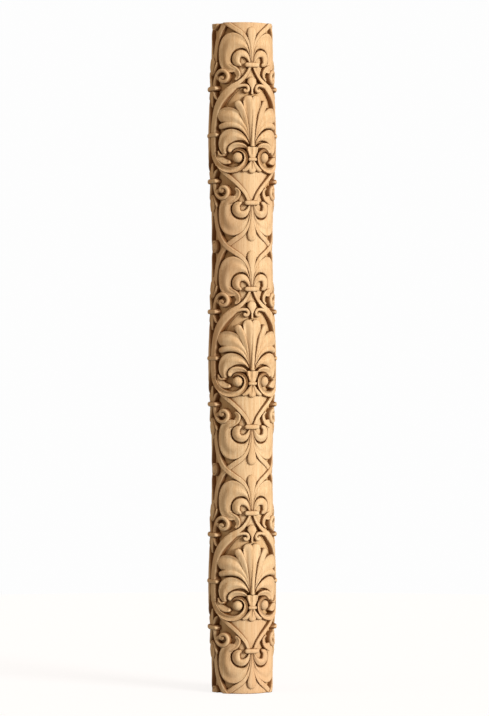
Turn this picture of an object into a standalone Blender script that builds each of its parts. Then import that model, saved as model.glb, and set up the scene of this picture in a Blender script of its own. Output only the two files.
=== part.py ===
"""Carved iconostasis column: a turned wooden blank with palmettes, scrolls and crossing straps.

The column stands on the XY plane with its axis on Z. Its pattern is drawn on squared paper: a tier
is ROWS squares high, and a quarter of the round is COLUMNS squares wide. One quarter is modelled,
from the middle of a panel (-Y) to the seam between two panels (+X), and mirrored twice.
"""
import math

import bmesh
import bpy
import numpy as np
from mathutils import Vector

# Driving dimensions, in metres
TIER_HEIGHT = 0.400  # one repeat of the pattern, from strap crossing to strap crossing
BLANK_RADIUS = 0.0468  # the ground between the carved forms, at the strap crossings
BLANK_SWELL = 0.0023  # how much fuller the ground is half-way up a tier
RELIEF = 0.0150  # the height of the collars, the boldest carving, above the ground

# Counts
TIERS = 3
FACES = 9600  # triangles kept for the carved surface
SMOOTHINGS = 2  # times over that the laid grid is smoothed
MENDS = 3  # times over that the thinned skin is mended
EASINGS = 60  # the most times that its folds are eased

# The squared paper
ROWS = 222
COLUMNS = 49.5
BOLDEST = 8.3  # the height of the collars as the tables below write it

# The grid that is laid over the carving, in squares
GRID_COLUMN = 0.55
GRID_ROW = 0.62
SAW_WASTE = 6  # how far the grid runs past each end before it is sawn off
GROUND_STEP = 2.5
GROUND_MARGIN = 7.5  # how far the ground runs past the quarter and the ends

# The lofts
STATION_PARTS = 3  # rings from one station to the next
END_RINGS = (0.97, 0.8, 0.5)  # where the rings of a rounded end stand, as shares of its reach
BOSS_RINGS = (0.1, 0.4, 0.65, 0.85, 0.96, 1)
BOSS_SPOKES = 16
FOOT = -0.5  # the height, in squares, of the edges that run down into the ground

# The surface
SMOOTHING = 0.5  # how far each smoothing goes, as a share of the way to the neighbours' middle
CREASE = 40  # degrees: edges sharper than this are shaded as edges
ROUGHNESS = 0.6
WOOD = (0.62, 0.41, 0.21)

HEIGHT = TIERS * TIER_HEIGHT
SQUARE = TIER_HEIGHT / ROWS

# A section runs from a form's left edge to its right edge: (share of half width, share of height)
ROUND = [(-1, 0), (-0.9, 0.6), (-0.5, 0.92), (0, 1), (0.5, 0.92), (0.9, 0.6), (1, 0)]
FULL = [(-1, 0), (-0.94, 0.75), (-0.6, 0.95), (0, 1), (0.6, 0.95), (0.94, 0.75), (1, 0)]
STRAP = [(-1, 0), (-0.94, 0.8), (-0.7, 1), (0, 0.97), (0.7, 1), (0.94, 0.8), (1, 0)]
CHANNEL = [(-1, 0), (-0.94, 0.8), (-0.78, 1), (-0.35, 0.76), (0, 0.7), (0.35, 0.76), (0.78, 1),
           (0.94, 0.8), (1, 0)]
PETAL = [(-1, 0), (-0.96, 0.8), (-0.85, 0.9), (-0.5, 0.64), (-0.1, 0.92), (0.12, 1), (0.6, 0.65), (1, 0.3)]
CURL = [(-1, 0), (-0.95, 0.7), (-0.6, 1), (-0.2, 0.94), (0.4, 0.74), (0.94, 0.6), (1, 0)]
BUD = [(-1, 0), (-0.94, 0.8), (-0.76, 0.94), (-0.4, 0.78), (0, 1), (0.4, 0.78), (0.76, 0.94),
       (0.94, 0.8), (1, 0)]
LOBE = [(-1, 0.2), (-0.5, 0.46), (0.1, 0.76), (0.6, 1), (0.9, 0.8), (1, 0)]
CROWN = [(-1, 0.3), (-0.96, 0.97), (-0.6, 1), (0.4, 0.72), (0.86, 0.88), (0.97, 0.6), (1, 0)]
PLATE = [(-1, 0), (-0.97, 0.9), (0, 1), (0.97, 0.9), (1, 0)]

# A carved form is its section and its stations: (column, row, half width, height), in squares, and
# how far its rounded ends reach, as a share of the half width where that isn't 1. Columns count
# from the middle of the panel, and rows down from the crossing at a tier's top.
STRAP_RUN = (STRAP, [(0.9, 40, 0.8, 4.1), (1.2, 32, 1.1, 4.3), (2.7, 24, 1.5, 4.6),
                     (5.2, 17.8, 2, 4.8), (10, 11.6, 2.6, 4.9), (20, 5, 3, 4.9),
                     (27.7, 0, 3.1, 4.9), (33.5, -5.5, 3.3, 4.7), (38.2, -13, 3.7, 4.5),
                     (42.6, -23, 3.9, 4.3), (44.5, -32, 3.9, 4.2), (44.6, -41, 3.6, 4)])
FLEUR = [
    (PETAL, [(1, 40, 0.7, 3.5), (2.6, 31, 1.3, 4.1), (5.6, 24.8, 3, 4.5), (11, 20.8, 6.2, 4.8),
             (18.5, 19.2, 9.2, 5), (24.3, 20.9, 9.9, 5.1), (28.1, 25.6, 9.4, 5.1),
             (29.8, 32, 8.3, 5), (29.4, 38.6, 7.4, 4.9), (26.8, 43.2, 6.3, 4.8),
             (22.6, 45.6, 5, 4.7), (18.6, 46.8, 3.2, 4.5)]),
    (LOBE, [(25, 43.2, 2.6, 4.5), (20.4, 45.8, 3.8, 4.9), (16.4, 48.4, 4.5, 5.2),
            (14.4, 51.6, 4.6, 5.3), (15, 55, 4, 5.2), (17.2, 57.8, 2.2, 5)], 0.8),
    (CURL, [(2.2, 40.2, 1.2, 4.6), (4.4, 35.2, 2.4, 5.2), (7.8, 31.7, 3.3, 5.8),
            (12.4, 31.2, 3.6, 6.1), (16.2, 34.2, 4.1, 6.2), (16.9, 38.2, 4, 6.1),
            (15.4, 41.2, 3.2, 5.8), (13, 42.2, 2.1, 5.3)]),
    (FULL, [(0, 38, 0.9, 4.5), (0, 30, 1.4, 4.9), (0, 22, 2.7, 5.3), (0, 15.5, 4.4, 5.6),
            (0, 11, 5.3, 5.7), (0, 9.6, 5.3, 5.6)]),
    (ROUND, [(-5, 42.5, 2.2, 7), (0, 42.5, 2.3, 7.3), (5, 42.5, 2.2, 7)]),
    (PLATE, [(0, 34, 9, 2.2), (0, 45, 12, 2.2), (0, 58, 14, 2.2)], 0),
]
DIAMOND = (PLATE, [(0, -24, 2.4, 2.6), (0, -17.8, 5.2, 2.6), (0, -11.6, 10, 2.6), (0, -5, 20, 2.6),
                   (0, 0, 27.5, 2.6), (0, 5, 20, 2.6), (0, 11.6, 10, 2.6), (0, 17.8, 5.2, 2.6),
                   (0, 24, 2.4, 2.6)], 0)
ARCH = [
    (STRAP, [(1.6, 44, 1.6, 5.1), (3.3, 48.2, 2.1, 5.2), (5.7, 52.3, 2.5, 5.2),
             (9.8, 56.9, 2.8, 5.2), (15.4, 61, 3.1, 5.1), (22, 65, 3.4, 5.1)]),
    (STRAP, [(16, 63.8, 2.4, 4.9), (21, 66, 4.2, 5.1), (26, 69.6, 4.8, 5.3), (32, 75.6, 4.9, 5.6),
             (37.4, 83, 4.9, 5.9), (41, 92, 4.8, 6.2), (43, 102, 4.7, 6.5), (43.8, 113, 4.7, 6.7),
             (43.8, 122, 4.8, 6.7), (43, 128, 4.2, 6.5)]),
    (CHANNEL, [(43.6, 122, 4.7, 6.4), (42.6, 130.3, 4.1, 6.6), (39.5, 136.3, 3.5, 6.6),
               (34, 142, 3.2, 6.5), (27, 145.9, 3.2, 6.5), (20, 147, 3.1, 6.5),
               (13.2, 145.4, 2.8, 6.5), (8.6, 141.2, 2.4, 6.5), (6.6, 136.2, 2.1, 6.6),
               (7.2, 131, 1.9, 6.6), (10, 127.9, 1.7, 6.5), (14, 126.8, 1.5, 6.2),
               (17.8, 128.2, 1.2, 5.7), (19.8, 130.4, 0.7, 4.9)]),
    (ROUND, [(20, 65.4, 2.6, 5.1), (14, 63.6, 2.2, 5.4), (9, 62.9, 1.8, 5.8), (5, 63.7, 1.8, 6),
             (3.4, 66.4, 1.8, 6.1), (5, 68.9, 1.8, 6), (8, 68.7, 1.5, 5.8), (8.8, 66.7, 1.2, 5.6),
             (7.2, 65.9, 0.9, 5.3)]),
    (STRAP, [(37, 143.6, 1.4, 4.6), (32, 148, 2.5, 4.9), (25.4, 153, 3, 5), (18.6, 158.4, 3.1, 5),
             (11.9, 164.8, 3.1, 5), (6.6, 171.2, 3, 5), (3.4, 177.6, 2.6, 5)]),
    (CURL, [(42, 125.5, 1, 5.1), (38.4, 130.8, 2.2, 5.7), (33.4, 135.4, 2.8, 6),
            (28.3, 138.2, 2.7, 6.1), (24.8, 138.9, 2.3, 6)]),
    (ROUND, [(25.6, 139.4, 2.1, 6.2), (24, 138.8, 2.3, 6.3)]),
    (FULL, [(0, 71, 1.5, 4.9), (0, 66.5, 1.6, 5.1), (0, 63, 3.4, 5.5), (0, 60.2, 5.2, 5.7),
            (0, 59.2, 5.4, 5.6)], 0.95),
    (PLATE, [(0, 178, 1.4, 2.6), (0, 170.7, 5.6, 2.6), (0, 164, 11, 2.6), (0, 157.8, 18, 2.6),
             (0, 152.4, 25, 2.6), (0, 148.5, 29, 2.6), (0, 145, 27, 2.6)], 0),
    (PLATE, [(0, 64, 10, 1.5), (0, 74, 22, 1.5), (0, 85, 31, 1.5)], 0),
]
PALMETTE = [
    (CROWN, [(2.2, 120, 1.6, 5.1), (2.7, 108, 2.4, 5.6), (3.3, 96, 3.4, 6.1), (4, 86, 4.6, 6.5),
             (4.1, 79, 5.4, 6.6), (4.1, 77, 5.4, 6.4)], 0.82),
    (CURL, [(3.2, 118, 0.9, 4.9), (4.6, 109, 1.6, 5.4), (6.8, 100, 2.4, 5.8), (9.6, 92, 3.2, 6.1),
            (12.6, 86, 3.7, 6.3), (15.2, 81.6, 3.9, 6.3)]),
    (PETAL, [(3, 116, 0.7, 4.9), (5.2, 108, 2.2, 5.3), (9, 101, 4, 5.7), (14.5, 95.6, 6, 6),
             (21, 92.4, 7.5, 6.2), (28, 92, 7.8, 6.2), (32.6, 93, 7.2, 6.1), (34.6, 93.8, 6.2, 5.9)], 0.32),
    (ROUND, [(3.4, 117, 0.8, 4.7), (6.4, 111, 1.6, 5.1), (10.4, 106, 2.4, 5.5), (15, 103, 3.1, 5.8),
             (21, 101.6, 3.6, 6), (27, 101.8, 3.7, 6.1), (32.6, 103.2, 3.4, 6.1)]),
    (PETAL, [(3.6, 120.5, 0.9, 4.7), (8, 115.8, 2.6, 5.3), (14, 113, 5, 5.7), (21, 112.6, 6.9, 6),
             (27, 115, 7.6, 6.2), (30.4, 119.6, 6.6, 6.2), (30.8, 124.8, 5, 6),
             (29.6, 128.6, 3.6, 5.7)], 0.8),
    (ROUND, [(29.6, 131.8, 1.3, 5.9), (32.2, 132.1, 1.5, 6.2), (34.6, 130.6, 1.4, 6.3),
             (35.9, 128, 1.1, 6.1)]),
    (CURL, [(5, 125.5, 0.9, 5.1), (8.6, 123, 2.3, 5.7), (14, 122.2, 3.1, 6.1),
            (19.2, 123.2, 3.3, 6.3), (22.2, 126, 3, 6.2), (22.5, 127, 2.8, 6.1)]),
    (ROUND, [(0, 87.8, 0.8, 6.6), (0, 95, 1.2, 6.8), (0, 105, 1.6, 7), (0, 115, 2, 7.1),
             (0, 123.2, 2.5, 7.2)], 0.15),
    (BUD, [(0, 124.4, 6.2, 6.6), (0, 127, 6, 6.8), (0, 130.5, 4.9, 6.8), (0, 134.5, 3.6, 6.7)], 0.12),
    (ROUND, [(-2.6, 136.3, 2.1, 7.5), (0, 136.3, 2.1, 7.7), (2.6, 136.3, 2.1, 7.5)]),
    (BUD, [(0, 138, 1.8, 6.4), (0, 142.5, 2.9, 6.6), (0, 147, 4.3, 6.4)], 0.8),
    (ROUND, [(1.4, 138.6, 1.4, 6.2), (3.6, 143, 2.6, 6.3), (6.8, 146.2, 2.7, 6.2),
             (8.6, 147, 2.1, 5.8)]),
]
SEAM = [
    (ROUND, [(46, 50, 1.4, 5.3), (43.4, 46, 1.9, 5.6), (41, 42, 2, 5.7), (40.2, 40.4, 1.7, 5.5)]),
    (ROUND, [(45, 63, 3.4, 5.7), (43.4, 57, 2.8, 5.8), (40.2, 51, 2.3, 6), (36, 47.5, 2.2, 6.2),
             (30.5, 46.8, 2.3, 6.3), (26, 49.4, 2.3, 6.4), (24.3, 53.6, 2.3, 6.4),
             (25.8, 57.4, 2.1, 6.3), (30, 59, 2, 6.2), (33.8, 57.8, 2.2, 6.1),
             (34.8, 55.2, 2.4, 6.1), (33, 53.6, 2.5, 6), (31.2, 54.2, 2.2, 5.9)]),
    (ROUND, [(45.5, 67.5, 2.2, 5.9), (43.6, 71, 2.3, 6), (40.8, 74.3, 2, 5.9),
             (38.5, 75.8, 1.2, 5.3)]),
    (BUD, [(49.5, 50, 2.2, 5.6), (49.5, 45.5, 5.2, 6.1), (49.5, 40, 6.6, 6.3), (49.5, 35.5, 5, 5.9),
           (49.5, 33, 3, 5.3)]),
    (ROUND, [(40, 65.4, 2.1, 7.9), (49.5, 65.4, 2.1, 8.3), (59, 65.4, 2.1, 7.9)]),
    (BUD, [(49.5, 67, 3, 6.1), (49.5, 72, 4.4, 6), (49.5, 78, 4, 5.6), (49.5, 81, 2.6, 5.2)]),
]
SEAM_WAIST = (ROUND, [(38.4, 111.9, 1.9, 7.6), (49.5, 111.9, 1.9, 8.1), (60.6, 111.9, 1.9, 7.6)])

# A boss is an oval dome: (column, row, half width, half height, height)
BERRY = (14.9, 134.1, 5.6, 5.7, 7.4)
EYELET = (49.5, 0, 9, 6.8, 5.4)
SEAM_LOBE = (39.6, 54.6, 2.6, 3.2, 5.1)


def ground_radius(row):
    """Radius of the turned blank at a row, in metres: fullest half-way up each tier."""
    return BLANK_RADIUS + BLANK_SWELL * (1 - math.cos(2 * math.pi * row / ROWS)) / 2


def roll(column, row, height):
    """The place on the column of a point of the squared paper, lifted by a height in squares."""
    angle = column / COLUMNS * math.pi / 2
    radius = ground_radius(row) + height / BOLDEST * RELIEF
    return radius * math.sin(angle), -radius * math.cos(angle), HEIGHT - row * SQUARE


def smooth_path(stations):
    """Stations with more between them, on a Catmull-Rom curve through all four of their values."""
    given = np.array(stations, dtype=float)
    padded = np.vstack([2 * given[0] - given[1], given, 2 * given[-1] - given[-2]])
    path = []
    for p0, p1, p2, p3 in zip(padded, padded[1:], padded[2:], padded[3:]):
        for t in np.arange(STATION_PARTS) / STATION_PARTS:
            path.append(p1 + 0.5 * t * (p2 - p0 + t * (2 * p0 - 5 * p1 + 4 * p2 - p3
                                                       + t * (3 * (p1 - p2) + p3 - p0))))
    return np.array(path + [given[-1]])


def add_loft(guide, rings):
    """Closed tube through rings of points on the squared paper, with its ends capped."""
    loops = [[guide.verts.new(roll(*point)) for point in ring] for ring in rings]
    for near, far in zip(loops, loops[1:]):
        for i in range(len(near)):
            guide.faces.new((near[i - 1], near[i], far[i], far[i - 1]))
    guide.faces.new(loops[0])
    guide.faces.new(loops[-1][::-1])


def add_form(guide, form, upended, first_row):
    """A section carried along its stations, with rounded ends, either way up in its tier."""
    section, stations, *reach = form
    reach = reach[0] if reach else 1
    path = smooth_path(stations)
    along = np.gradient(path[:, :2], axis=0)
    along /= np.linalg.norm(along, axis=1)[:, None]
    rings = [(path[0], along[0], -lead) for lead in END_RINGS]
    rings += [(station, way, 0) for station, way in zip(path, along)]
    rings += [(path[-1], along[-1], lead) for lead in END_RINGS[::-1]]
    loft = []
    for (column, row, half_width, height), way, lead in rings:
        share = math.sqrt(1 - lead**2)
        column += way[0] * half_width * reach * lead
        row += way[1] * half_width * reach * lead
        ring = []
        for across, rise in section + [(1, FOOT), (-1, FOOT)]:
            offset = across * half_width * share
            lift = rise * height * math.sqrt(share) if rise >= 0 else rise
            down = row + way[0] * offset
            ring.append((column - way[1] * offset, first_row + (ROWS - down if upended else down), lift))
        loft.append(ring)
    add_loft(guide, loft)


def add_boss(guide, boss, upended, first_row):
    """A dome with an oval foot, either way up in its tier."""
    column, row, half_width, half_height, height = boss
    middle = first_row + (ROWS - row if upended else row)
    loft = []
    for share in BOSS_RINGS:
        rise = height * math.sqrt(1 - share**2) if share < 1 else FOOT
        loft.append([(column + half_width * share * math.cos(2 * math.pi * k / BOSS_SPOKES),
                      middle + half_height * share * math.sin(2 * math.pi * k / BOSS_SPOKES), rise)
                     for k in range(BOSS_SPOKES)])
    add_loft(guide, loft)


def add_ground(guide):
    """The turned blank, a little wider than the quarter and longer than the column."""
    rows = np.arange(-GROUND_MARGIN, TIERS * ROWS + GROUND_MARGIN, GROUND_STEP)
    columns = np.arange(-GROUND_MARGIN, COLUMNS + GROUND_MARGIN, GROUND_STEP)
    net = [[guide.verts.new(roll(column, row, 0)) for column in columns] for row in rows]
    for upper, lower in zip(net, net[1:]):
        for i in range(len(columns) - 1):
            guide.faces.new((upper[i], lower[i], lower[i + 1], upper[i + 1]))


def carving_guide():
    """Every carved form of the quarter, overlapping as drawn, for the grid to be laid over."""
    guide = bmesh.new()
    add_ground(guide)
    for first_row in range(0, TIERS * ROWS, ROWS):
        for form in FLEUR + ARCH + PALMETTE + SEAM + [SEAM_WAIST]:
            add_form(guide, form, False, first_row)
        for form in FLEUR + SEAM:
            add_form(guide, form, True, first_row)
        add_boss(guide, BERRY, False, first_row)
        add_boss(guide, SEAM_LOBE, False, first_row)
        add_boss(guide, SEAM_LOBE, True, first_row)
    for first_row in range(0, (TIERS + 1) * ROWS, ROWS):
        add_form(guide, STRAP_RUN, False, first_row)
        add_form(guide, STRAP_RUN, True, first_row - ROWS)
        add_form(guide, DIAMOND, False, first_row)
        add_boss(guide, EYELET, False, first_row)
    mesh = bpy.data.meshes.new("carving_guide")
    guide.to_mesh(mesh)
    guide.free()
    return mesh


def overlay_grid():
    """A close grid just outside the carving, one quarter wide, facing out."""
    length = TIERS * ROWS + 2 * SAW_WASTE
    rows = np.linspace(-SAW_WASTE, length - SAW_WASTE, round(length / GRID_ROW))
    columns = np.linspace(0, COLUMNS, round(COLUMNS / GRID_COLUMN) + 1)
    net = bmesh.new()
    points = [[net.verts.new(roll(column, row, 2 * BOLDEST)) for column in columns] for row in rows]
    for upper, lower in zip(points, points[1:]):
        for i in range(len(columns) - 1):
            net.faces.new((upper[i], lower[i], lower[i + 1], upper[i + 1]))
    net.normal_update()
    mesh = bpy.data.meshes.new("overlay_grid")
    net.to_mesh(mesh)
    net.free()
    return mesh


def add_object(name, mesh, collection):
    made = bpy.data.objects.new(name, mesh)
    collection.objects.link(made)
    return made


def lay_over(quarter, guide):
    """Modifiers that drop the grid on the carving, ease it and thin it out."""
    drop = quarter.modifiers.new("drop", "SHRINKWRAP")
    drop.target = guide
    drop.wrap_method = "PROJECT"
    drop.use_positive_direction = False
    drop.use_negative_direction = True
    ease = quarter.modifiers.new("ease", "SMOOTH")
    ease.factor = SMOOTHING
    ease.iterations = SMOOTHINGS
    thin = quarter.modifiers.new("thin", "DECIMATE")
    grid_faces = 2 * len(quarter.data.polygons)
    thin.ratio = FACES / 4 / grid_faces


def add_mirrored(body, axis):
    """Puts a net's open edge on a plane through the column's axis and adds its mirror image."""
    reach = SQUARE / 2
    for vert in body.verts:
        if vert.is_boundary and abs(vert.co[axis]) < reach:
            vert.co[axis] = 0
    flat = [face for face in body.faces if all(vert.co[axis] == 0 for vert in face.verts)]
    bmesh.ops.delete(body, geom=flat, context="FACES")
    bmesh.ops.mirror(body, geom=body.verts[:] + body.edges[:] + body.faces[:], axis="XY"[axis],
                     merge_dist=SQUARE / 1000)


def unfold(body):
    """Slides the corners of faces that the thinning has folded over, until every face looks outward.

    A corner slides half-way to the middle of its neighbours, but keeps its distance from the axis.
    """
    for _ in range(EASINGS):
        folded = [face for face in body.faces
                  if face.normal.xy.dot(face.calc_center_median().xy) <= 0]
        corners = {vert for face in folded for vert in face.verts if not vert.is_boundary}
        if not corners:
            break
        places = {}
        for vert in corners:
            near = [edge.other_vert(vert).co for edge in vert.link_edges]
            place = (vert.co + sum(near, Vector()) / len(near)) / 2
            place.xy *= vert.co.xy.length / place.xy.length
            places[vert] = place
        for vert, place in places.items():
            vert.co = place
        body.normal_update()


def mend_skin(body):
    """Fills the sawn ends and any pinholes left by the thinning, and dissolves faces without area."""
    for _ in range(MENDS):
        bmesh.ops.holes_fill(body, edges=[edge for edge in body.edges if edge.is_boundary], sides=0)
        bmesh.ops.triangulate(body, faces=body.faces[:])
        bmesh.ops.dissolve_degenerate(body, edges=body.edges[:], dist=SQUARE / 60)
    loose = [vert for vert in body.verts if not vert.link_faces]
    bmesh.ops.delete(body, geom=loose, context="VERTS")


def close_column(mesh):
    """Makes the quarter a whole round, cuts it square at both ends and closes the cuts."""
    body = bmesh.new()
    body.from_mesh(mesh)
    for axis in (0, 1):
        add_mirrored(body, axis)
    unfold(body)
    for height, way in ((0, -1), (HEIGHT, 1)):
        bmesh.ops.bisect_plane(body, geom=body.verts[:] + body.edges[:] + body.faces[:],
                               plane_co=(0, 0, height), plane_no=(0, 0, way), clear_outer=True)
    mend_skin(body)
    bmesh.ops.recalc_face_normals(body, faces=body.faces[:])
    body.to_mesh(mesh)
    body.free()


def wood_material():
    wood = bpy.data.materials.new("carved_wood")
    wood.use_nodes = True
    shader = wood.node_tree.nodes["Principled BSDF"]
    shader.inputs["Base Color"].default_value = (*WOOD, 1)
    shader.inputs["Roughness"].default_value = ROUGHNESS
    shader.inputs["Metallic"].default_value = 0
    return wood


def build_column():
    parts = bpy.data.collections.new("iconostasis_column")
    bpy.context.scene.collection.children.link(parts)
    guide = add_object("carving_guide", carving_guide(), parts)
    quarter = add_object("quarter", overlay_grid(), parts)
    lay_over(quarter, guide)
    seen = quarter.evaluated_get(bpy.context.evaluated_depsgraph_get())
    mesh = bpy.data.meshes.new_from_object(seen)
    close_column(mesh)
    for helper in (quarter, guide):
        bpy.data.objects.remove(helper)
    mesh.name = "column"
    mesh.materials.append(wood_material())
    mesh.shade_smooth()
    mesh.set_sharp_from_angle(angle=math.radians(CREASE))
    return add_object("column", mesh, parts)


for item in list(bpy.data.objects):
    bpy.data.objects.remove(item)
build_column()
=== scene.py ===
import math
import bpy
import bmesh
import numpy as np
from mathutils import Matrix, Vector


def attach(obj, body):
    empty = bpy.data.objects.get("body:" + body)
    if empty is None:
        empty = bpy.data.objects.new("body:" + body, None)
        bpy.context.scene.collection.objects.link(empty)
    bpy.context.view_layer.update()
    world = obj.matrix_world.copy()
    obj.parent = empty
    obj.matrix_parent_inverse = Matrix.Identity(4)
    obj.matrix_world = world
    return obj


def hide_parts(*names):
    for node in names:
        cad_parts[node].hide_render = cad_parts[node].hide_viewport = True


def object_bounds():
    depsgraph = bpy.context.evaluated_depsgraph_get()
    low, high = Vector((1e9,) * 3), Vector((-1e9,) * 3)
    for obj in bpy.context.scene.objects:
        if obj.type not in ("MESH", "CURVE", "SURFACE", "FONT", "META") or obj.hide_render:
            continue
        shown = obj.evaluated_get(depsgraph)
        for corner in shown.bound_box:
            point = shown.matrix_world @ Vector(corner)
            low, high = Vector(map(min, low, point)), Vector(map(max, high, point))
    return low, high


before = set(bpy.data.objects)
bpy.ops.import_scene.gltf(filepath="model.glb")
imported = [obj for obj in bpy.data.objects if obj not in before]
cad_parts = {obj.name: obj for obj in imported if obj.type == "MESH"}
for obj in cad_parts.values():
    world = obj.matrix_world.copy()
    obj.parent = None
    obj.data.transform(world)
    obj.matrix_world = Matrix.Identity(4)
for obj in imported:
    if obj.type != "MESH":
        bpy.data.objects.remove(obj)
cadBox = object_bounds()
print("frame loaded")

# The carver's pattern is drawn on squared paper. A tier of the column is 222 squares high and
# a panel, half of the column's round, is 99 squares wide. Rows count down from the crossing of
# the straps at the top of a tier, and columns count out from the middle line of a panel.
sheet = {"rows": 222.0, "halfPanel": 49.5, "tiers": 3}
columnHeight = cadBox[1].z - cadBox[0].z
tierHeight = columnHeight / sheet["tiers"]
square = tierHeight / sheet["rows"]

# the turned blank under the carving, in squares: it swells a little in the middle of each tier
blank = {"radius": 26.0, "swell": 1.3, "footDepth": 0.8, "spokes": 144, "rings": 121}

# A carved form is a list of stations (column, row, half width, height) along its middle, all in
# squares, and a section from its left edge to its right edge, as shares of the width and height.
sections = {
    "round": [(-1, 0), (-.97, .4), (-.86, .68), (-.62, .88), (-.3, .98), (0, 1), (.3, .98), (.62, .88),
              (.86, .68), (.97, .4), (1, 0)],
    "strap": [(-1, 0), (-.98, .6), (-.9, .86), (-.7, .98), (-.4, 1), (0, .97), (.4, 1), (.7, .98),
              (.9, .86), (.98, .6), (1, 0)],
    "channel": [(-1, 0), (-.98, .62), (-.9, .92), (-.78, 1), (-.6, .93), (-.3, .76), (0, .7), (.3, .76),
                (.6, .93), (.78, 1), (.9, .92), (.98, .62), (1, 0)],
    "petal": [(-1, 0), (-.985, .62), (-.94, .86), (-.86, .92), (-.74, .88), (-.58, .82), (-.42, .8),
              (-.24, .85), (-.06, .94), (.1, .98), (.28, .98), (.48, .9), (.68, .8), (.86, .72), (1, .55)],
    "curl": [(-1, 0), (-.98, .5), (-.88, .8), (-.7, .96), (-.48, 1), (-.2, .93), (.1, .78), (.4, .68),
             (.7, .62), (.92, .5), (1, 0)],
    "volute": [(-1, 0), (-.985, .5), (-.93, .66), (-.75, .73), (-.5, .8), (-.25, .91), (0, .99), (.3, 1),
               (.65, .94), (.85, .82), (.96, .55), (1, 0)],
    "bud": [(-1, 0), (-.98, .55), (-.9, .86), (-.76, .94), (-.56, .84), (-.4, .78), (-.2, .88), (0, 1),
            (.2, .88), (.4, .78), (.56, .84), (.76, .94), (.9, .86), (.98, .55), (1, 0)],
    "full": [(-1, 0), (-.985, .55), (-.93, .78), (-.8, .9), (-.5, .97), (0, 1), (.5, .97), (.8, .9),
             (.93, .78), (.985, .55), (1, 0)],
    "finger": [(-1, 0), (-.975, .62), (-.88, .9), (-.6, 1), (-.3, .98), (0, .92), (.3, .84), (.55, .78),
               (.78, .76), (.92, .68), (.985, .4), (1, 0)],
    "lobe": [(-1, .4), (-.8, .54), (-.5, .64), (-.2, .72), (.1, .82), (.38, .94), (.6, 1), (.8, .95),
             (.93, .72), (.985, .4), (1, 0)],
    "wing": [(-1, 0), (-.985, .6), (-.94, .84), (-.86, .88), (-.74, .78), (-.56, .7), (-.3, .82), (0, .96),
             (.22, 1), (.5, .93), (.75, .86), (1, .82)],
    "crown": [(-1, .3), (-.96, .97), (-.6, 1), (-.2, .93), (.2, .78), (.5, .7), (.72, .76), (.86, .88),
              (.94, .84), (.985, .55), (1, 0)],
    "plate": [(-1, 0), (-.99, .8), (-.96, 1), (0, 1.06), (.96, 1), (.99, .8), (1, 0)],
}

fleur = {
    "petal": ("petal", [(1, 40, .7, 3.5), (2.6, 31, 1.3, 4.1), (5.6, 24.8, 3, 4.5), (11, 20.8, 6.2, 4.8),
                        (18.5, 19.2, 9.2, 5), (24.3, 20.9, 9.9, 5.1), (28.1, 25.6, 9.4, 5.1),
                        (29.8, 32, 8.3, 5), (29.4, 38.6, 7.4, 4.9), (26.8, 43.2, 6.3, 4.8),
                        (22.6, 45.6, 5, 4.7), (18.6, 46.8, 3.2, 4.5)]),
    "tail": ("lobe", [(25, 43.2, 2.6, 4.5), (20.8, 45.4, 3.2, 5), (17.2, 47.6, 3.5, 5.3),
                      (14.9, 50.6, 3.4, 5.4), (14.6, 53.8, 3, 5.3), (16.6, 56.6, 2, 5.1)], .8),
    "volute": ("volute", [(2.2, 40.2, 1.2, 4.6), (4.4, 35.2, 2.5, 5.2), (7.9, 31.9, 3.6, 5.8),
                          (12.4, 31.5, 4, 6.1), (16.1, 34.4, 4.6, 6.2), (16.4, 38.4, 4.6, 6.1),
                          (14.7, 41.2, 3.5, 5.9), (12.7, 42.4, 2.2, 5.5)]),
    "strap": ("strap", [(.9, 40, .8, 4.1), (1.2, 32, 1.1, 4.3), (2.7, 24, 1.5, 4.6), (5.2, 17.8, 2, 4.8),
                        (10, 11.6, 2.6, 4.9), (20, 5, 3, 4.9), (27.7, 0, 3.1, 4.9), (33.5, -5.5, 3.3, 4.7),
                        (38.2, -13, 3.7, 4.5), (42.6, -23, 3.9, 4.3), (44.5, -32, 3.9, 4.2),
                        (44.6, -41, 3.6, 4)]),
}
fleurMiddle = {
    "bud": ("full", [(0, 38, .9, 4.5), (0, 30, 1.4, 4.9), (0, 22, 2.7, 5.3), (0, 15.5, 4.4, 5.6),
                     (0, 11, 5.3, 5.7), (0, 9.6, 5.3, 5.6)]),
    "collar": ("full", [(-5.4, 42.7, 2.6, 7), (0, 42.7, 2.7, 7.3), (5.4, 42.7, 2.6, 7)]),
    "bed": ("plate", [(0, 33, 12, 1.4), (0, 45, 15, 1.6), (0, 56, 15, 1.8)], 0),
}
diamond = ("plate", [(0, -24, 2.4, 2.6), (0, -17.8, 5.2, 2.6), (0, -11.6, 10, 2.6), (0, -5, 20, 2.6),
                     (0, 0, 27.5, 2.6), (0, 5, 20, 2.6), (0, 11.6, 10, 2.6), (0, 17.8, 5.2, 2.6),
                     (0, 24, 2.4, 2.6)], 0)
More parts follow.
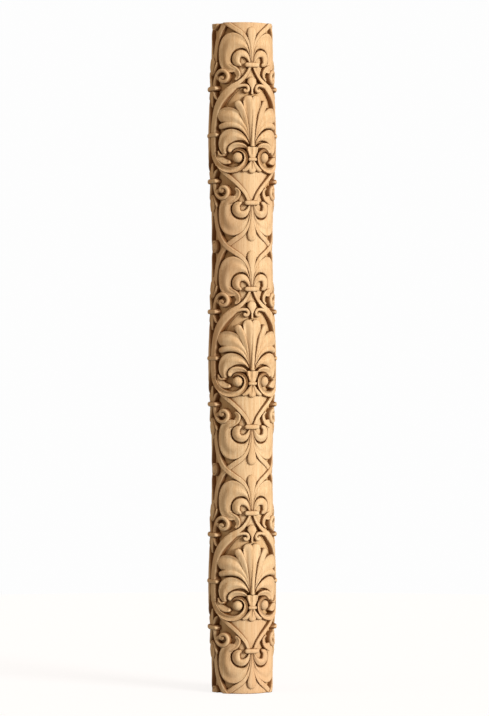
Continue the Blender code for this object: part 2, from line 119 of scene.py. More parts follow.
arch = {
    "strand": ("strap", [(1.8, 44, 1.5, 5.1), (3.5, 48.2, 1.8, 5.2), (5.9, 52.4, 2, 5.2),
                         (9.7, 57, 2.2, 5.2), (15.2, 61.2, 2.7, 5.1), (22, 65, 3.4, 5.1)]),
    "band": ("strap", [(16, 63.8, 2.4, 4.9), (21, 66, 4.2, 5.1), (26, 69.6, 4.8, 5.3), (32, 75.6, 4.9, 5.6),
                       (37.4, 83, 4.9, 5.9), (41, 92, 4.8, 6.2), (43, 102, 4.7, 6.5), (43.8, 113, 4.7, 6.7),
                       (43.8, 122, 4.8, 6.7), (43, 128, 4.2, 6.5)]),
    "scroll": ("channel", [(43.6, 122, 4.7, 6.4), (42.6, 130.3, 4.1, 6.6), (39.5, 136.3, 3.5, 6.6),
                           (34, 142, 3.2, 6.5), (27, 145.9, 3.2, 6.5), (20, 147, 3.1, 6.5),
                           (13.2, 145.4, 2.8, 6.5), (8.6, 141.2, 2.4, 6.5), (6.6, 136.2, 2.1, 6.6),
                           (7.2, 131, 1.9, 6.6), (10, 127.9, 1.7, 6.5), (14, 126.8, 1.5, 6.2),
                           (17.8, 128.2, 1.2, 5.7), (19.8, 130.4, .7, 4.9)]),
    "volute": ("round", [(20, 65.4, 2.6, 5.1), (14, 63.6, 2.2, 5.4), (9, 62.9, 1.9, 5.8),
                         (5.4, 63.5, 2, 6), (3.9, 66.3, 2.1, 6.1), (5.2, 68.6, 2.1, 6),
                         (7.4, 68.5, 2.1, 5.9), (8, 67.5, 1.9, 5.8), (7.1, 67.4, 1.6, 5.6)]),
    "brace": ("strap", [(37, 143.6, 1.4, 4.6), (31.8, 147.8, 2.2, 4.9), (25, 152.5, 2.4, 5),
                        (18.1, 157.8, 2.4, 5), (11.4, 164.2, 2.4, 5), (6.2, 170.7, 2.3, 5),
                        (3.2, 177.2, 2.2, 5)]),
    "leaf": ("curl", [(42, 125.5, 1, 5.1), (38.6, 131, 2.6, 5.7), (33.6, 135.8, 3.4, 6),
                      (28.4, 138.4, 3.2, 6.1), (24.4, 138.8, 2.5, 6)]),
}
archMiddle = {
    "bud": ("full", [(0, 71, 1.5, 4.9), (0, 66.5, 1.6, 5.1), (0, 63, 3.4, 5.5), (0, 60.2, 5.2, 5.7),
                     (0, 59.2, 5.4, 5.6)], .95),
    "gusset": ("plate", [(0, 178, 1.4, 2.2), (0, 170.7, 5.6, 2.2), (0, 164, 11, 2.2), (0, 157.8, 18, 2.2),
                         (0, 152.4, 25, 2.2), (0, 148.5, 29, 2.2), (0, 145, 27, 2.2)], 0),
    "bed": ("plate", [(0, 64, 10, .9), (0, 74, 22, .8), (0, 85, 31, .8)], 0),
}
palmette = {
    "crown": ("crown", [(2.2, 120, 1.6, 5.1), (2.7, 108, 2.4, 5.6), (3.3, 96, 3.4, 6.1), (4, 86, 4.6, 6.5),
                        (4.1, 79, 5.4, 6.6), (4.1, 77, 5.4, 6.4)], .82),
    "finger": ("finger", [(3.2, 118, .9, 5), (4.6, 109, 1.6, 5.7), (6.6, 100, 2.5, 6.4), (9, 92, 3.5, 6.9),
                         (11.6, 86, 4.1, 7.1), (14.1, 81.6, 4.2, 7)]),
    "wing": ("wing", [(3, 116, .7, 4.9), (5.2, 108, 2.2, 5.3), (9, 101, 4, 5.7), (14.5, 95.6, 6, 6),
                      (21, 92.4, 7.5, 6.2), (28, 92, 7.8, 6.2), (32.4, 92.9, 7.2, 6.1),
                      (34.8, 94, 6.2, 5.9)], .32),
    "wingFold": ("round", [(3.4, 117, .8, 4.7), (6.4, 111, 1.6, 5.1), (10.4, 106, 2.4, 5.5),
                           (15, 103, 3.1, 5.8), (21, 101.6, 3.6, 6), (27, 101.8, 3.7, 6.1),
                           (32.6, 103.2, 3.4, 6.1)]),
    "crescent": ("petal", [(3.6, 120.5, .9, 4.7), (8, 115.8, 2.6, 5.3), (14, 113, 5, 5.7),
                           (21, 112.6, 6.9, 6), (26.6, 115, 7.4, 6.2), (29.6, 119.6, 6.4, 6.2),
                           (30, 124.8, 4.9, 6), (29.2, 128.6, 3.6, 5.7)], .8),
    "flick": ("round", [(29.6, 131.8, 1.3, 5.9), (32.2, 132.1, 1.5, 6.2), (34.6, 130.6, 1.4, 6.3),
                        (35.9, 128, 1.1, 6.1)]),
    "hook": ("curl", [(5, 125.5, .9, 5.1), (8.6, 123, 2.3, 5.7), (14, 122.2, 3.1, 6.1),
                      (19.2, 123.2, 3.3, 6.3), (22.2, 126, 3, 6.2), (22.5, 127, 2.8, 6.1)]),
}
palmetteMiddle = {
    "stalk": ("round", [(0, 87.8, .8, 6.6), (0, 95, 1.2, 6.8), (0, 105, 1.6, 7), (0, 115, 2, 7),
                        (0, 123.2, 2.5, 7.1)], .15),
    "cup": ("bud", [(0, 124.4, 6.2, 6.6), (0, 127, 6, 6.8), (0, 130.5, 4.9, 6.8), (0, 134.5, 3.6, 6.7)], .12),
    "ring": ("full", [(-2.6, 136.3, 2.1, 7), (0, 136.3, 2.1, 7.2), (2.6, 136.3, 2.1, 7)]),
    "skirt": ("bud", [(0, 138, 1.8, 6.4), (0, 142.5, 2.9, 6.6), (0, 147, 4.3, 6.4)], .8),
}
skirtSide = ("round", [(1.4, 138.6, 1.4, 6.2), (3.6, 143, 2.6, 6.3), (6.8, 146.2, 2.7, 6.2),
                       (8.6, 147, 2.1, 5.8)])
seam = {
    "leaf": ("round", [(46, 50, 1.4, 5.3), (43.4, 46, 1.9, 5.6), (41, 42, 2, 5.7), (40.2, 40.4, 1.7, 5.5)]),
    "scroll": ("round", [(45, 63, 3.4, 5.7), (43.4, 57, 2.8, 5.8), (40.2, 51.4, 2.4, 6), (36, 48.3, 2.3, 6.2),
                         (30.6, 47.7, 2.4, 6.3), (26.4, 50.1, 2.6, 6.4), (24.9, 54, 2.6, 6.4),
                         (26.6, 57.4, 2.5, 6.3), (30.4, 58.7, 2.4, 6.2), (34, 57.4, 2.6, 6.1),
                         (34.6, 55.5, 2.6, 6.1), (32.6, 54.7, 2.6, 6), (31, 55.1, 2.4, 5.9)]),
    "tail": ("round", [(45.5, 67.5, 2.2, 5.9), (43.6, 71, 2.3, 6), (40.8, 74.3, 2, 5.9),
                       (38.5, 75.8, 1.2, 5.3)]),
}
seamMiddle = {
    "bud": ("bud", [(49.5, 50, 2.2, 5.6), (49.5, 45.5, 5.2, 6.1), (49.5, 40, 6.6, 6.3), (49.5, 35.5, 5, 5.9),
                    (49.5, 33, 3, 5.3)]),
    "collar": ("full", [(40, 64.9, 2.6, 7.8), (49.5, 64.9, 2.6, 8.2), (59, 64.9, 2.6, 7.8)]),
    "tail": ("bud", [(49.5, 67, 3, 6.1), (49.5, 72, 4.4, 6), (49.5, 78, 4, 5.6), (49.5, 81, 2.6, 5.2)]),
}
seamWaist = ("full", [(38.4, 111.3, 2.5, 7.6), (49.5, 111.3, 2.5, 8.1), (60.6, 111.3, 2.5, 7.6)])

# a boss is a dome with an oval outline: (column, row, half width, half height, height, grooved)
berry = (14.7, 134.1, 6.1, 6.1, 7.2, False)
eyelet = (49.5, 0, 9, 6.8, 5.4, True)
seamLobe = (39.6, 54.6, 2.6, 3.2, 5.1, False)
seamCore = (31, 55, 4.3, 3.2, 4.6, False)

crossing = {"dip": 1.1, "reach": 7.0}  # how deep a strap dips under another, and how far from it

fineness = {"alongStep": .9, "acrossStep": .64, "fewestAcross": 13, "mostAcross": 35,
            "bossRings": 9, "bossSpokes": 28, "bossCrown": .04, "rim": 1.5, "betweenStations": 12,
            "fewestAlong": 6, "sectionStep": .02, "sharp": 62}
# a form's rounded ends: degrees of the half circle at each ring, and the height there as a share
roundedEnd = {"turns": [90, 72, 54, 38, 22], "heights": [0, .5, .8, .93, .99], "narrowest": .04}
# a grooved boss from its crown to its edge: (distance, height), as shares
groovedBoss = [(0, 1), (.35, .9), (.6, .55), (.7, .5), (.82, .85), (.95, .7), (1, 0)]


def flowThrough(points, step):
    # a smooth curve through the points (Catmull-Rom with chord-length knots), evened out along its length
    p = np.asarray(points, float)
    ends = np.vstack([2 * p[0] - p[1], p, 2 * p[-1] - p[-2]])
    gaps = np.sqrt(np.linalg.norm(np.diff(ends[:, :2], axis=0), axis=1)).clip(1e-6)
    knots = np.concatenate([[0], np.cumsum(gaps)])
    share = np.linspace(0, 1, fineness["betweenStations"], endpoint=False)
    runs = []
    for k in range(1, len(ends) - 2):
        t0, t1, t2, t3 = knots[k - 1:k + 3]
        t = (t1 + (t2 - t1) * share)[:, None]
        a1 = (t1 - t) / (t1 - t0) * ends[k - 1] + (t - t0) / (t1 - t0) * ends[k]
        a2 = (t2 - t) / (t2 - t1) * ends[k] + (t - t1) / (t2 - t1) * ends[k + 1]
        a3 = (t3 - t) / (t3 - t2) * ends[k + 1] + (t - t2) / (t3 - t2) * ends[k + 2]
        b1 = (t2 - t) / (t2 - t0) * a1 + (t - t0) / (t2 - t0) * a2
        b2 = (t3 - t) / (t3 - t1) * a2 + (t - t1) / (t3 - t1) * a3
        runs.append((t2 - t) / (t2 - t1) * b1 + (t - t1) / (t2 - t1) * b2)
    flow = np.vstack(runs + [p[-1:]])
    run = np.concatenate([[0], np.cumsum(np.linalg.norm(np.diff(flow[:, :2], axis=0), axis=1))])
    count = max(fineness["fewestAlong"], int(math.ceil(run[-1] / step)) + 1)
    even = np.linspace(0, run[-1], count)
    return np.stack([np.interp(even, run, flow[:, c]) for c in range(p.shape[1])], axis=1)


def sectionCurve(name, count):
    # the section as a smooth curve: points spread evenly along its own outline, walls included
    corners = np.asarray(sections[name], float)
    flow = flowThrough(corners, fineness["sectionStep"])
    run = np.concatenate([[0], np.cumsum(np.linalg.norm(np.diff(flow, axis=0), axis=1))])
    even = np.linspace(0, run[-1], count)
    return np.stack([np.interp(even, run, flow[:, c]) for c in range(2)], axis=1)


def carve(form):
    # a section carried along a path, as a grid of (column, row, height, distance to the form's edge): its
    # ends are rounded off over the half width times the tip share, its hollows close up before the far
    # end, and its edges run down into the blank
    section, stations, *tip = form
    tip = tip[0] if tip else 1
    path = flowThrough(stations, fineness["alongStep"])
    tangent = np.gradient(path[:, :2], axis=0)
    tangent /= np.linalg.norm(tangent, axis=1)[:, None]
    # rounded ends: rings that close in on a half circle past the first and the last station
    turn = np.radians(roundedEnd["turns"])
    head = path[:1].repeat(len(turn), axis=0)
    tail = path[-1:].repeat(len(turn), axis=0)
    head[:, :2] -= tangent[:1] * (head[:, 2] * tip * np.sin(turn))[:, None]
    tail[:, :2] += tangent[-1:] * (tail[:, 2] * tip * np.sin(turn))[:, None]
    for end in (head, tail):
        end[:, 2] *= np.cos(turn).clip(roundedEnd["narrowest"])
        end[:, 3] *= roundedEnd["heights"]
    path = np.vstack([head, path, tail[::-1]])
    tangent = np.pad(tangent, ((len(turn), len(turn)), (0, 0)), mode="edge")
    normal = np.stack([-tangent[:, 1], tangent[:, 0]], axis=1)
    widest = 2 * max(station[2] for station in stations)
    count = round(widest / fineness["acrossStep"])
    cut = sectionCurve(section, min(max(count, fineness["fewestAcross"]), fineness["mostAcross"]))
    across = np.concatenate([[-1], cut[:, 0], [1]])
    rise = np.concatenate([[0], cut[:, 1], [0]])
    column = path[:, :1] + normal[:, :1] * path[:, 2:3] * across
    row = path[:, 1:2] + normal[:, 1:2] * path[:, 2:3] * across
    toEnd = np.cumsum(np.linalg.norm(np.diff(path[:, :2], axis=0), axis=1)[::-1])[::-1]
    closing = (1 - np.append(toEnd, 0) / (fineness["rim"] * stations[-1][2])).clip(0, 1)[:, None]
    # known fault: not a number where an outline passes its edge, as the palmette crown's does by 1.3 %, and
    # such a corner ends up at the origin
    rounded = np.sqrt(1 - across ** 4)
    height = path[:, 3:4] * (rise + (rounded - rise) * closing)
    height[:, [0, -1]] = -blank["footDepth"]
    height[[0, -1], :] = -blank["footDepth"]
    return np.stack([column, row, height, path[:, 2:3] * (1 - abs(across))], axis=2)


def dome(boss):
    # a boss on a polar grid: rings out from the crown, spokes round it. A grooved one has a sunk ring
    column, row, halfWidth, halfHeight, height, grooved = boss
    rings = np.linspace(fineness["bossCrown"], 1, fineness["bossRings"] + 1)
    spokes = np.linspace(0, 2 * np.pi, fineness["bossSpokes"], endpoint=False)
    rise = np.sqrt(np.clip(1 - rings ** 2, 0, 1))
    if grooved:
        rise = np.interp(rings, *zip(*groovedBoss))
    rings = np.append(rings, 1)
    rise = np.append(rise * height, -blank["footDepth"])
    grid = np.empty((len(rings), len(spokes), 4))
    grid[:, :, 0] = column + halfWidth * rings[:, None] * np.cos(spokes)
    grid[:, :, 1] = row + halfHeight * rings[:, None] * np.sin(spokes)
    grid[:, :, 2] = rise[:, None]
    grid[:, :, 3] = halfWidth * (1 - rings)[:, None]
    return grid


def closedTube(grid, start):
    # quads of a grid whose sections are closed loops, with a cap on each end, counted on from start.
    # Known fault: they face out on the sheet, but in once wrap has rolled it, because that mirrors it
    index = start + np.arange(grid.shape[0] * grid.shape[1]).reshape(grid.shape[:2])
    a, b = index[:-1], index[1:]
    quads = np.stack([a, b, np.roll(b, -1, 1), np.roll(a, -1, 1)], axis=2).reshape(-1, 4)
    return quads.tolist() + [index[0].tolist(), index[-1][::-1].tolist()]


def blankRadius(row):
    # radius of the turned blank: a cosine swell once a tier, lowest at the strap crossings
    return blank["radius"] + blank["swell"] * (1 - np.cos(2 * np.pi * row / sheet["rows"])) / 2


def wrap(points, quarterTurn, tier):
    # rolls sheet points (column, row, height) round the column: a panel's half width is a quarter turn
    angle = points[:, 0] / sheet["halfPanel"] * np.pi / 2 + quarterTurn
    radius = (blankRadius(points[:, 1]) + points[:, 2]) * square
    z = columnHeight - (tier * sheet["rows"] + points[:, 1]) * square
    return np.stack([radius * np.sin(angle), -radius * np.cos(angle), z], axis=1)


def mirrored(grid, line=0.0):
    # the grid's mirror image in a column line, with its sections reversed so that it faces the same way
    flipped = grid[:, ::-1].copy()
    flipped[:, :, 0] = 2 * line - flipped[:, :, 0]
    return flipped


def upended(grid):
    # the grid turned top to bottom within the tier
    flipped = grid[:, ::-1].copy()
    flipped[:, :, 1] = sheet["rows"] - flipped[:, :, 1]
    return flipped


def passUnder(grid, row):
    # lowers a strap where it goes under another: a bell-shaped dip round the crossing's row
    dip = crossing["dip"] * np.exp(-((grid[:, :, 1] - row) / crossing["reach"]) ** 2)
    height = grid[:, :, 2]
    grid[:, :, 2] = np.where(height > 0, height - dip * np.minimum(height, 1), height)
    return grid


def tierGrids(firstTier, lastTier):
    # every carved form of one panel and of the seam on its right, for one tier
    both, middle, seamSide, seamOnly = [], [], [], []
    both += [carve(form) for form in fleur.values()]
    both += [upended(carve(form)) for name, form in fleur.items() if name != "strap"]
    both.append(passUnder(upended(carve(fleur["strap"])), sheet["rows"]))
    both += [carve(form) for form in arch.values()]
    both += [carve(form) for form in palmette.values()]
    both += [carve(skirtSide), dome(berry)]
    for forms in (fleurMiddle, archMiddle, palmetteMiddle):
        middle += [carve(form) for form in forms.values()]
    middle += [upended(carve(form)) for form in fleurMiddle.values()]
    seamSide += [carve(form) for form in seam.values()] + [dome(seamLobe), dome(seamCore)]
    seamSide += [upended(grid) for grid in seamSide]
    seamOnly += [carve(form) for form in seamMiddle.values()]
    seamOnly += [upended(grid) for grid in seamOnly]
    seamOnly += [carve(seamWaist), dome(eyelet)]
    middle.append(carve(diamond))
    strap = carve(fleur["strap"])
    if firstTier:
        above = strap[:, ::-1].copy()
        above[:, :, 1] *= -1
        both.append(passUnder(above, 0))
    if lastTier:
        below = strap.copy()
        below[:, :, 1] += sheet["rows"]
        both.append(below)
        for grid, group in ((dome(eyelet), seamOnly), (carve(diamond), middle)):
            grid[:, :, 1] += sheet["rows"]
            group.append(grid)
    line = sheet["halfPanel"]
    return (both + [mirrored(g) for g in both] + middle + seamSide
            + [mirrored(g, line) for g in seamSide] + seamOnly)


def meshOf(name, points, faces, lift, rim):
    # a mesh object from whole arrays of points and faces, smooth shaded but for its sharp edges
    mesh = bpy.data.meshes.new(name)
    mesh.from_pydata(points.tolist(), [], faces)
    # lift is a point's height over the blank and rim its distance to its form's edge, both in squares; the
    # wood's material paints shade by both
    mesh.attributes.new("lift", "FLOAT", "POINT").data.foreach_set("value", lift.astype(np.float32))
    mesh.attributes.new("rim", "FLOAT", "POINT").data.foreach_set("value", rim.astype(np.float32))
    mesh.update()
    mesh.shade_smooth()
    mesh.set_sharp_from_angle(angle=math.radians(fineness["sharp"]))
    made = bpy.data.objects.new(name, mesh)
    bpy.context.scene.collection.objects.link(made)
    return made


def sawOff(made, spans, end, way):
    # cuts forms square at an end of the column, drops what lies beyond (way 1 above, -1 below) and closes
    # the cuts. Each cut stands a hair further in than the one before, so that no two lie in one plane
    body = bmesh.new()
    body.from_mesh(made.data)
    body.faces.ensure_lookup_table()
    forms = [body.faces[first:last] for first, last in spans]
    for number, form in enumerate(forms, 1):
        # each corner and edge once, and in the same order at every run, which a set wouldn't keep
        around = dict.fromkeys(part for face in form for part in (*face.verts, *face.edges))
        cut = bmesh.ops.bisect_plane(body, geom=[*around, *form], clear_outer=True, plane_no=(0, 0, way),
                                     plane_co=(0, 0, end - way * number * sawn))["geom_cut"]
        rims = [part for part in cut if isinstance(part, bmesh.types.BMEdge)]
        bmesh.ops.holes_fill(body, edges=rims, sides=0)
    body.to_mesh(made.data)
    body.free()


def buildPanel(tier, panel):
    # one tier of one panel: every form carved on the sheet, rolled round the column
    first, last = tier == 0, tier == sheet["tiers"] - 1
    grids = tierGrids(first, last)
    faces, start, above, below = [], 0, [], []
    for grid in grids:
        span = len(faces), len(faces) + (grid.shape[0] - 1) * grid.shape[1] + 2
        faces += closedTube(grid, start)
        start += grid.shape[0] * grid.shape[1]
        if first and grid[:, :, 1].min() < 0:
            above.append(span)
        if last and grid[:, :, 1].max() > sheet["rows"]:
            below.append(span)
    flat = np.vstack([grid.reshape(-1, 4) for grid in grids])
    rolled = wrap(flat, panels[panel], tier)
    made = meshOf(f"carving_{panel}_{tier + 1}", rolled, faces, flat[:, 2], flat[:, 3])
    sawOff(made, above, cadBox[1].z, 1)
    sawOff(made, below, cadBox[0].z, -1)
    return made


def buildBlank():
    # the turned blank: radius as a function of height, carried round, with flat sawn ends
    rows = np.linspace(0, sheet["tiers"] * sheet["rows"], blank["rings"])
    turns = np.linspace(0, 2 * np.pi, blank["spokes"], endpoint=False)
    radius = blankRadius(rows)[:, None] * square
    z = columnHeight - rows * square
    side = np.stack([radius * np.sin(turns), -radius * np.cos(turns), z[:, None] + 0 * turns], axis=2)
    flat = np.zeros(side[:, :, 0].size)
    return meshOf("column_blank", side.reshape(-1, 3), closedTube(side, 0), flat, flat + sheet["rows"])


panels = {"front": 0, "back": math.pi}
sawn = 5e-5  # how much further in each form is sawn off than the one before
carving = [buildPanel(tier, panel) for tier in range(sheet["tiers"]) for panel in panels]
print("carving:", len(carving), "pieces")
pieces = carving + [buildBlank()]
for made in pieces:
    print(made.name, sum(len(face.vertices) - 2 for face in made.data.polygons), "triangles")
    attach(made, "root")
    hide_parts("column")


class Wire:
    # wraps a socket, so that shader maths reads as plain expressions: each operator adds one Math node
    def __init__(self, board, socket):
        self.board, self.socket = board, socket

    def math(self, operation, *others):
        return self.board.node("ShaderNodeMath", {"operation": operation}, (self, *others))

    def __add__(self, other):
        return self.math("ADD", other)

    def __sub__(self, other):
        return self.math("SUBTRACT", other)

    def __mul__(self, other):
        return self.math("MULTIPLY", other)

    def __rsub__(self, other):
        return self.board.node("ShaderNodeMath", {"operation": "SUBTRACT"}, (other, self))

    __radd__, __rmul__ = __add__, __mul__

    def ramp(self, low, high):
        # 0 below low, 1 above high, smooth between
        return self.board.node("ShaderNodeMapRange", {"interpolation_type": "SMOOTHSTEP"},
                               {"Value": self, "From Min": low, "From Max": high})


class Board:
    # a material's node tree, with one way to add a node
    def __init__(self, name):
        self.material = bpy.data.materials.new(name)
        self.material.use_nodes = True
        self.tree = self.material.node_tree
        self.shader = self.tree.nodes["Principled BSDF"]

    def node(self, kind, settings=None, inputs=(), out=0):
        # settings are set first, then the sockets' values or links, by place or by name
        made = self.tree.nodes.new(kind)
        for key, value in (settings or {}).items():
            setattr(made, key, value)
        named = inputs.items() if isinstance(inputs, dict) else enumerate(inputs)
        for key, value in named:
            self.put(made.inputs[key], value)
        return Wire(self, made.outputs[out])

    def put(self, socket, value):
        if isinstance(value, Wire):
            self.tree.links.new(value.socket, socket)
        else:
            socket.default_value = value

    def mix(self, share, first, second):
        # the first colour at share 0, the second at share 1
        made = self.tree.nodes.new("ShaderNodeMix")
        made.data_type = "RGBA"
        for place, value in ((0, share), (6, first), (7, second)):
            self.put(made.inputs[place], value)
        return Wire(self, made.outputs[2])

    def noise(self, where, scale, detail=2.0, rough=.5, twist=0.0):
        return self.node("ShaderNodeTexNoise", {}, {"Vector": where, "Scale": scale, "Detail": detail,
                                                    "Roughness": rough, "Distortion": twist})


# bare carved hardwood, colours as linear light; the darkest brown and the ground brown are painted shade,
# laid into hollows, crevices and along form edges
woodLook = {
    "pale": (.585, .43, .25, 1), "warm": (.5, .325, .165, 1), "rosy": (.48, .29, .155, 1),
    # the last two colours on the next line are painted shade, not the wood's own colour
    "pore": (.2, .09, .03, 1), "paintedShade": (.12, .034, .0005, 1), "ground": (.37, .205, .07, 1),
    # reaches, ramps and strengths of the painted shade
    "recessReach": .012, "recessLow": .2, "recessHigh": .8, "recessDepth": .5,
    "creviceReach": .004, "creviceLow": .12, "creviceHigh": .78, "creviceDepth": .96,
    "pitLow": .04, "pitHigh": .34, "pitDepth": .75,
    "groundLift": 2.3, "groundDepth": .42, "rimFrom": .15, "rimTo": 1.05, "rimDepth": .82,
    "grainStretch": .045, "ringScale": 95, "streakScale": 420, "fibreScale": 1300,
    "cloudScale": 9, "cloudStretch": .3, "poreScale": 1700, "poreStretch": .09,
    "rosyDepth": .6, "fibreDepth": .16, "poreDepth": .55,
    "roughness": .66, "shine": .08, "bump": .35, "bumpHeight": .0004,
}


def carvedWood():
    look = woodLook
    board = Board("carved wood")
    place = board.node("ShaderNodeTexCoord", {}, (), out=3)
    along = board.node("ShaderNodeMapping", {"vector_type": "POINT"},
                       {"Vector": place, "Scale": (1, 1, look["grainStretch"])})
    drawn = board.node("ShaderNodeMapping", {}, {"Vector": place, "Scale": (1, 1, look["cloudStretch"])})
    cloud = board.noise(drawn, look["cloudScale"], 3)
    rings = board.noise(along, look["ringScale"], 3, .6, .6)
    streaks = board.noise(along, look["streakScale"], 3, .65)
    fibres = board.noise(along, look["fibreScale"], 2, .6)
    pricked = board.node("ShaderNodeMapping", {}, {"Vector": place, "Scale": (1, 1, look["poreStretch"])})
    pores = board.noise(pricked, look["poreScale"], 1)
    # growth rings and fine streaks make the colour, with a slow drift from yellow to rosy
    band = (rings * .55 + streaks * .45).ramp(.36, .64)
    wood = board.mix(band, look["warm"], look["pale"])
    wood = board.mix(cloud.ramp(.45, .68) * look["rosyDepth"], wood, look["rosy"])
    wood = board.mix(fibres.ramp(.5, .72) * look["fibreDepth"], wood, look["pore"])
    pore = pores.ramp(.6, .74) * streaks.ramp(.62, .4)
    wood = board.mix(pore * look["poreDepth"], wood, look["pore"])
    # painted shade: the less open sky a point sees, the browner it is, wide hollows towards the ground brown
    # and tight crevices towards the darkest brown
    wide, close = (board.node("ShaderNodeAmbientOcclusion", {"samples": 8}, {"Distance": look[reach]}, out=1)
                   for reach in ("recessReach", "creviceReach"))
    hollowShade = 1 - wide.ramp(look["recessLow"], look["recessHigh"])
    creviceShade = 1 - close.ramp(look["creviceLow"], look["creviceHigh"])
    # painted shade on the sunk ground: the nearer a point lies to the blank, the browner it is
    lift = board.node("ShaderNodeAttribute", {"attribute_name": "lift"}, (), out=2)
    low = 1 - lift.ramp(0, look["groundLift"])
    wood = board.mix(low * look["groundDepth"], wood, look["ground"])
    # painted shade in wide hollows
    wood = board.mix(hollowShade * look["recessDepth"], wood, look["ground"])
    # painted shade along every form's edge: a dark outline where its wall runs down into the ground
    rim = board.node("ShaderNodeAttribute", {"attribute_name": "rim"}, (), out=2)
    edge = 1 - rim.ramp(look["rimFrom"], look["rimTo"])
    wood = board.mix(edge * look["rimDepth"], wood, look["paintedShade"])
    # painted shade in tight crevices
    wood = board.mix(creviceShade * look["creviceDepth"], wood, look["paintedShade"])
    # painted shade, darkest in the deepest pits
    pit = 1 - wide.ramp(look["pitLow"], look["pitHigh"])
    wood = board.mix(pit * look["pitDepth"], wood, look["paintedShade"])
    board.put(board.shader.inputs["Base Color"], wood)
    board.put(board.shader.inputs["Specular IOR Level"], look["shine"])
    board.put(board.shader.inputs["Roughness"], look["roughness"] + streaks * .12 - cloud * .06)
    height = fibres * .25 + streaks * .4 - pore * .9
    bump = board.node("ShaderNodeBump", {}, {"Strength": look["bump"], "Distance": look["bumpHeight"],
                                             "Height": height})
    board.put(board.shader.inputs["Normal"], bump)
    return board.material


# the sawn ends: growth rings round a pith that lies off the middle, in metres
endLook = {"pith": (.011, -.007, 0), "ring": .004, "wander": 2.2, "wanderScale": 30,
           "fleck": .25, "fleckScale": 1500, "roughness": .8}


def endGrain():
    look = endLook
    board = Board("end grain")
    place = board.node("ShaderNodeTexCoord", {}, (), out=3)
    flat = board.node("ShaderNodeMapping", {},
                      {"Vector": place, "Location": look["pith"], "Scale": (1, 1, 0)})
    # rings: a sine of the distance from the pith, which the noise bends out of round
    distance = board.node("ShaderNodeVectorMath", {"operation": "LENGTH"}, (flat,), out=1)
    bend = board.noise(flat, look["wanderScale"], 2) * look["wander"]
    phase = distance * (2 * math.pi / look["ring"]) + bend
    band = phase.math("SINE").ramp(-1, 1)
    fleck = board.noise(flat, look["fleckScale"], 2).ramp(.55, .75) * look["fleck"]
    wood = board.mix(band, woodLook["rosy"], woodLook["warm"])
    board.put(board.shader.inputs["Base Color"], board.mix(fleck, wood, woodLook["pore"]))
    board.put(board.shader.inputs["Specular IOR Level"], woodLook["shine"])
    board.put(board.shader.inputs["Roughness"], look["roughness"])
    return board.material


wood = carvedWood()
for made in pieces:
    made.data.materials.append(wood)
turnedBlank = pieces[-1].data
turnedBlank.materials.append(endGrain())
turnedBlank.polygons[-1].material_index = turnedBlank.polygons[-2].material_index = 1
print("wood made")

# the studio
view = {"distance": 3160.0, "turn": 18.4, "frame": 716.0, "sensor": 36.0, "columnX": 242.2, "middleX": 244.5}
camera = bpy.data.cameras.new("camera")
camera.sensor_width = view["sensor"]
camera.lens = view["sensor"] * view["distance"] / view["frame"]
camera.shift_x = (view["middleX"] - view["columnX"]) / view["frame"]
camera.clip_end = 100
cameraObject = bpy.data.objects.new("camera", camera)
bpy.context.scene.collection.objects.link(cameraObject)
bpy.context.scene.camera = cameraObject
turn = math.radians(view["turn"])
away = view["distance"] * square
cameraObject.location = (-away * math.sin(turn), -away * math.cos(turn), columnHeight / 2)
cameraObject.rotation_euler = (math.pi / 2, 0, -turn)


def sun(name, azimuth, elevation, softness, strength, colour=(1, 1, 1)):
    # a far soft light: azimuth is counted from the camera's side, to its right
    lamp = bpy.data.lights.new(name, "SUN")
    lamp.angle = math.radians(softness)
    lamp.energy = strength
    lamp.color = colour
    made = bpy.data.objects.new(name, lamp)
    bpy.context.scene.collection.objects.link(made)
    a, e = math.radians(azimuth) - turn, math.radians(elevation)
    toward = Vector((math.sin(a) * math.cos(e), -math.cos(a) * math.cos(e), math.sin(e)))
    made.rotation_euler = toward.to_track_quat("Z", "Y").to_euler()
    return made


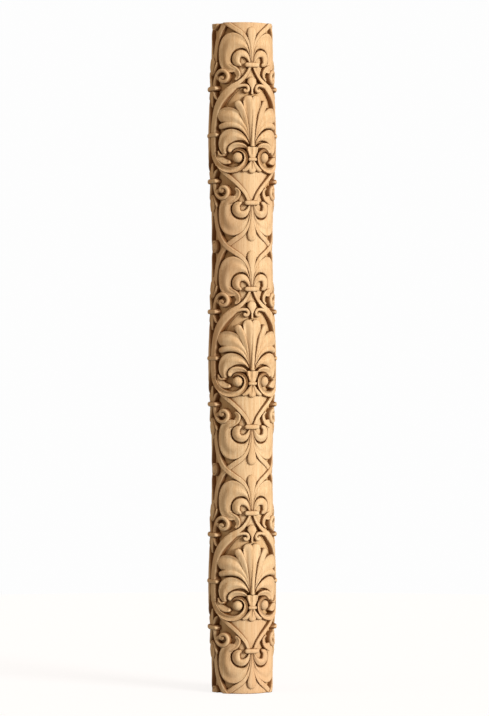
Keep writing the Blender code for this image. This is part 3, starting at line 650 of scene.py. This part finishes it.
studio = {"keySide": 48, "keyUp": 12, "keySoft": 26, "key": 4.75,
          "topUp": 84, "topSoft": 40, "top": .5,
          "fillSide": -72, "fillUp": 10, "fillSoft": 50, "fill": .48, "fillTint": (.82, .95, .88),
          "sky": .47, "skyTint": (1, .66, .42), "skySeen": .985, "floorSize": 2.4,
          "floorSpokes": 96, "floorDrop": 5e-5, "floorShade": .2, "floorGlow": .828, "floorBounce": .25}
sun("key", studio["keySide"], studio["keyUp"], studio["keySoft"], studio["key"])
sun("top", 0, studio["topUp"], studio["topSoft"], studio["top"])
sun("fill", studio["fillSide"], studio["fillUp"], studio["fillSoft"], studio["fill"], studio["fillTint"])


def byEye(tree, seenValue, otherValue):
    # a colour that is one value where the camera sees it and another as a light on the column
    path = tree.nodes.new("ShaderNodeLightPath")
    chosen = tree.nodes.new("ShaderNodeMix")
    chosen.data_type = "RGBA"
    tree.links.new(path.outputs["Is Camera Ray"], chosen.inputs[0])
    chosen.inputs[6].default_value = (*otherValue, 1)
    chosen.inputs[7].default_value = (*seenValue, 1)
    return chosen.outputs[2]


# the sky is white to the camera, and warm and dimmer as a light, so that the recesses keep their depth
world = bpy.data.worlds.new("studio")
bpy.context.scene.world = world
world.use_nodes = True
sky = byEye(world.node_tree, [studio["skySeen"]] * 3, [studio["sky"] * part for part in studio["skyTint"]])
world.node_tree.links.new(sky, world.node_tree.nodes["Background"].inputs["Color"])

# a plain round floor, a hair below the column's foot, which glows so that the shadow stays as pale as on
# white paper: the drop below the foot is written as a share of the floor's size
turns = np.linspace(0, 2 * np.pi, studio["floorSpokes"], endpoint=False)
edge = np.stack([np.cos(turns), np.sin(turns), 0 * turns - studio["floorDrop"]], axis=1)
edge *= studio["floorSize"]
floorMesh = bpy.data.meshes.new("floor")
floorMesh.from_pydata(edge.tolist(), [], [list(range(len(edge)))])
floor = bpy.data.objects.new("floor", floorMesh)
bpy.context.scene.collection.objects.link(floor)
paper = bpy.data.materials.new("white floor")
paper.use_nodes = True
matt = paper.node_tree.nodes["Principled BSDF"]
matt.inputs["Base Color"].default_value = (studio["floorShade"],) * 3 + (1,)
matt.inputs["Roughness"].default_value = 1
matt.inputs["Specular IOR Level"].default_value = 0
matt.inputs["Emission Strength"].default_value = 1
glow = byEye(paper.node_tree, [studio["floorGlow"]] * 3, [studio["floorBounce"]] * 3)
paper.node_tree.links.new(glow, matt.inputs["Emission Color"])
floorMesh.materials.append(paper)
bpy.context.scene.view_settings.view_transform = "Standard"
